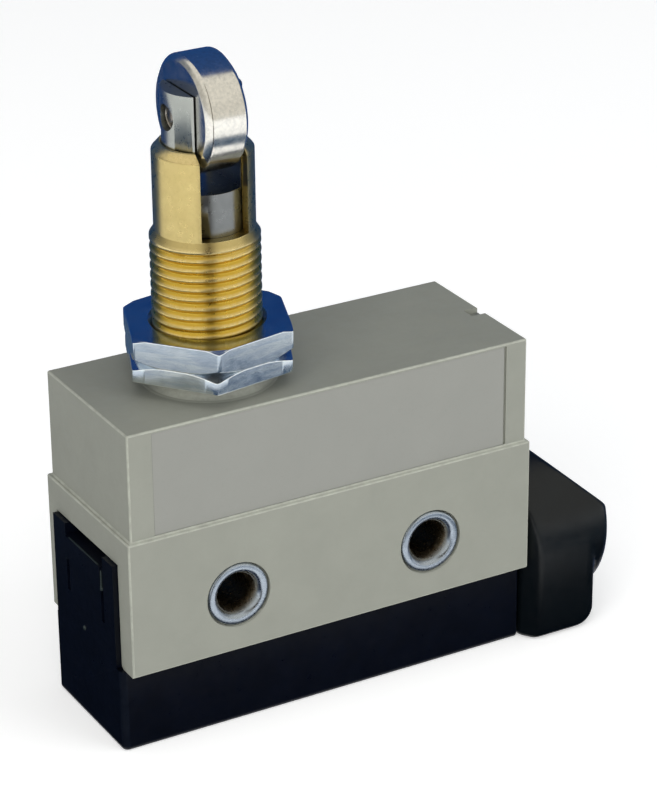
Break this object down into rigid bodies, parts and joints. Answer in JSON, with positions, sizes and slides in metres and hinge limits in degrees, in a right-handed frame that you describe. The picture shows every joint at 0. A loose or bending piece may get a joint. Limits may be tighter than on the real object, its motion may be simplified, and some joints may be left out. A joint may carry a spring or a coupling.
{
  "type": "limit switch",
  "caption": "Enclosed limit switch with a cross-roller plunger in a slotted threaded bushing, panel nuts, side mounting holes and a side cable boot.",
  "frame": {"origin": "midpoint between the two side mounting holes, on the mid-plane of the case", "axes": "+X along the case towards the cable boot, -Y towards the nameplate side, +Z along the plunger towards the roller"},
  "size_m": [0.0654, 0.0222, 0.0784],
  "materials": {
    "case_plastic": "fine moulded texture, satin",
    "label_film": "satin printed film, blank",
    "black_plastic": "moulded, satin",
    "boot_rubber": "soft matte",
    "seal_rubber": "matte",
    "eyelet_steel": "bright nickel plated",
    "bushing_brass": "turned, bright",
    "nut_zinc": "bright zinc plated",
    "stainless": "ground and turned",
    "spring_steel": "drawn wire",
    "phenolic": "moulded phenolic",
    "button_plastic": "moulded",
    "contact_silver": "silver alloy",
    "terminal_brass": "stamped"
  },
  "bodies": {
    "case": {"housing": "case_plastic", "nameplate": "label_film", "eyelet_left": "eyelet_steel", "eyelet_right": "eyelet_steel", "threaded_bushing": "bushing_brass", "panel_nut_lower": "nut_zinc", "panel_nut_upper": "nut_zinc", "spring_seat": "stainless", "return_spring": "spring_steel", "diaphragm_seal": "seal_rubber", "switch_base": "phenolic", "switch_cover": "phenolic", "nc_terminal": "terminal_brass", "no_terminal": "terminal_brass", "common_terminal": "terminal_brass", "nc_contact": "contact_silver", "no_contact": "contact_silver", "terminal_screws": "nut_zinc", "terminal_washers": "nut_zinc"},
    "plunger": {"plunger": "stainless", "roller_pin": "stainless", "plunger_oring": "seal_rubber"},
    "roller": {"roller": "stainless"},
    "pusher": {"auxiliary_pusher": "button_plastic", "switch_button": "button_plastic", "overtravel_spring": "spring_steel"},
    "blade": {"snap_blade": "terminal_brass", "moving_contact": "contact_silver"},
    "terminal_cover": {"terminal_cover": "black_plastic", "cable_boot": "boot_rubber", "cover_gasket": "seal_rubber"}
  },
  "joints": [
    {"name": "plunger_slide", "type": "slide", "parent": "case", "child": "plunger", "axis": [0, 0, -1], "range_m": [0, 0.0045], "stiffness_N_per_m": 600, "springref_m": -0.008, "deforming": ["return_spring"]},
    {"name": "roller_spin", "type": "hinge", "parent": "plunger", "child": "roller", "pos_m": [-0.01035, 0, 0.0543], "axis": [1, 0, 0], "continuous": true},
    {"name": "pusher_slide", "type": "slide", "parent": "case", "child": "pusher", "axis": [0, 0, -1], "range_m": [0, 0.00125], "deforming": ["overtravel_spring"]},
    {"name": "blade_snap", "type": "hinge", "parent": "case", "child": "blade", "pos_m": [0.02055, 0, 0.00765], "axis": [0, -1, 0], "range_deg": [0, 0.85]},
    {"name": "cover_removal", "type": "slide", "parent": "case", "child": "terminal_cover", "axis": [0, 0, -1], "range_m": [0, 0.025]}
  ],
  "couplings": [
    {"joint": "pusher_slide", "follows": "plunger_slide", "ratio": 0.2667},
    {"joint": "blade_snap", "follows": "plunger_slide", "rad_per_m": 3.26}
  ]
}
